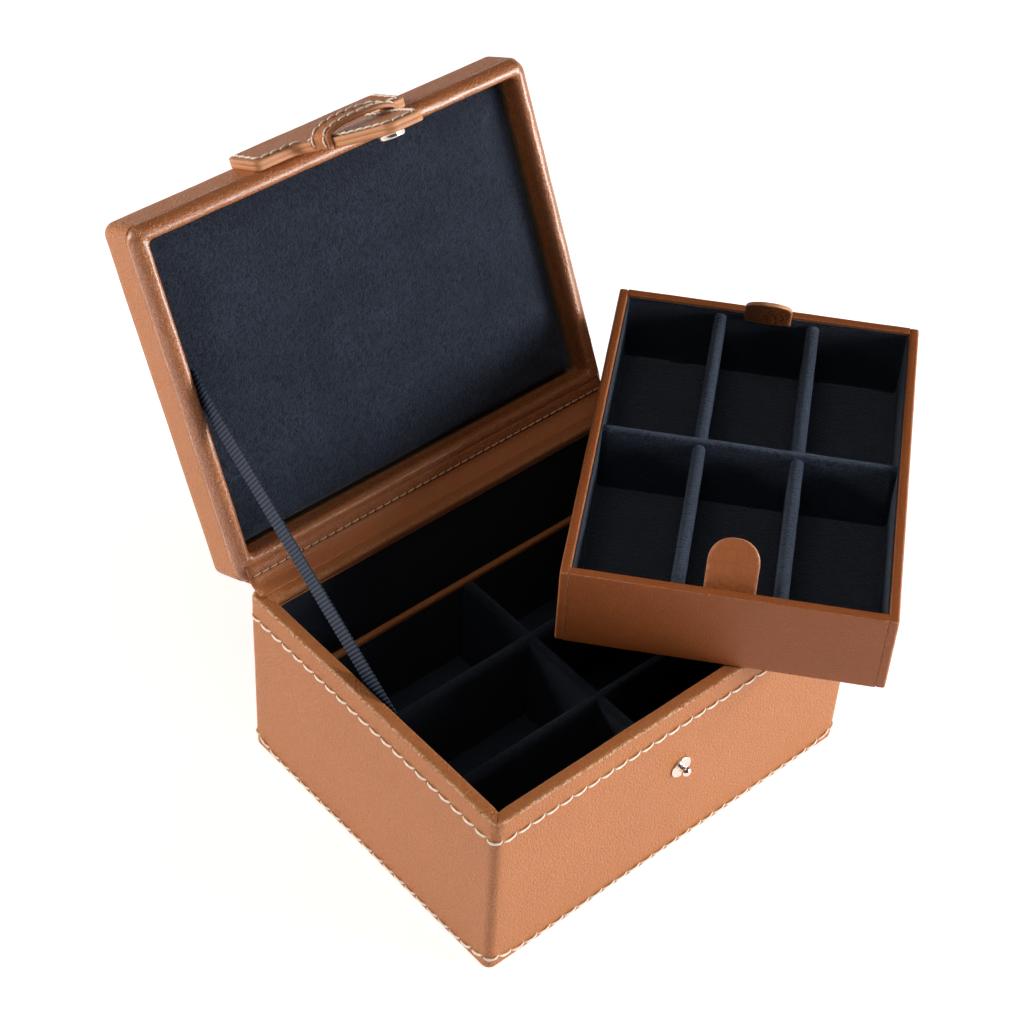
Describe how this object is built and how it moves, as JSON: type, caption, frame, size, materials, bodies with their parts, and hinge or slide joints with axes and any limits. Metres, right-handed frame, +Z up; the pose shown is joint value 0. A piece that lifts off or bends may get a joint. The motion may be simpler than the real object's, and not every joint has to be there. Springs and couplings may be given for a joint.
{
  "type": "leather jewellery case",
  "caption": "Leather-covered jewellery case with a hinged padded lid, ribbon stay, press-stud clasp, divided base and a lift-out divided tray.",
  "frame": {"origin": "centre of the base's footprint at the underside", "axes": "+X to the right along the case's width, +Y towards the hinge at the back, +Z up; the clasp side faces -Y"},
  "size_m": [0.3036, 0.2905, 0.2681],
  "materials": {
    "case_leather": "pebbled tan leather, satin",
    "clasp_leather": "tan leather with raw pale cut edges, satin",
    "smooth_leather": "smoother reddish tan leather, satin",
    "navy_suede": "napped navy suede",
    "navy_ribbon": "cross-ribbed grosgrain",
    "felt": "short felt",
    "board": "raw fibreboard",
    "snap_metal": "polished pale rose plating"
  },
  "bodies": {
    "base": {"base_bottom_board": "board", "base_cover": "case_leather", "base_felt": "felt", "base_floor_lining": "navy_suede", "base_front_board": "board", "base_left_board": "board", "base_lining": "navy_suede", "base_rear_board": "board", "base_right_board": "board", "base_rim_front": "case_leather", "base_rim_left": "case_leather", "base_rim_rear": "case_leather", "base_rim_right": "case_leather", "hinge_strip": "case_leather", "lower_cross_divider": "navy_suede", "lower_long_divider_front": "navy_suede", "lower_long_divider_middle": "navy_suede", "rear_partition_board": "board", "rear_partition_cap": "case_leather", "snap_stud": "snap_metal", "snap_washer": "snap_metal", "stay_ribbon": "navy_ribbon", "tray_step_front": "navy_suede", "tray_step_left": "navy_suede", "tray_step_right": "navy_suede"},
    "lid": {"clasp_bar": "clasp_leather", "clasp_bar_backing": "clasp_leather", "lid_cover": "case_leather", "lid_front_board": "board", "lid_inner_band": "case_leather", "lid_left_board": "board", "lid_panel_board": "board", "lid_panel_pad": "navy_suede", "lid_rear_board": "board", "lid_right_board": "board", "lid_rim": "case_leather", "lid_top_board": "board"},
    "clasp": {"clasp_tab": "clasp_leather", "clasp_backing": "clasp_leather", "clasp_keeper": "clasp_leather", "snap_socket": "snap_metal"},
    "front_tab": {"front_pull_tab": "smooth_leather"},
    "rear_tab": {"rear_pull_tab": "smooth_leather"},
    "tray": {"tray_bottom_board": "board", "tray_cover": "smooth_leather", "tray_cross_divider": "navy_suede", "tray_felt": "felt", "tray_front_board": "board", "tray_left_board": "board", "tray_lining": "navy_suede", "tray_long_divider_left": "navy_suede", "tray_long_divider_right": "navy_suede", "tray_rear_board": "board", "tray_right_board": "board"}
  },
  "joints": [
    {"name": "lid_hinge", "type": "hinge", "parent": "base", "child": "lid", "pos_m": [0, 0.0788, 0.0923], "axis": [-1, 0, 0], "range_deg": [-115.5, 0], "deforming": ["hinge_strip", "stay_ribbon"]},
    {"name": "tray_slide", "type": "slide", "parent": "base", "child": "tray", "axis": [1, 0, 0], "range_m": [0, 0.1504]},
    {"name": "clasp_flex", "type": "hinge", "parent": "lid", "child": "clasp", "pos_m": [0, 0.14649, 0.23607], "axis": [-1, 0, 0], "range_deg": [-3.4, 50], "stiffness_Nm_per_rad": 0.15},
    {"name": "front_tab_flex", "type": "hinge", "parent": "tray", "child": "front_tab", "pos_m": [0.02739, -0.06675, 0.1275], "axis": [-0.6401, 0.7683, 0], "range_deg": [-25, 35], "stiffness_Nm_per_rad": 0.02},
    {"name": "rear_tab_flex", "type": "hinge", "parent": "tray", "child": "rear_tab", "pos_m": [0.15761, 0.04175, 0.1275], "axis": [0.6401, -0.7683, 0], "range_deg": [-25, 35], "stiffness_Nm_per_rad": 0.02}
  ],
  "couplings": [
    {"joint": "tray_slide", "follows": "lid_hinge", "m_per_rad": -0.0744}
  ]
}
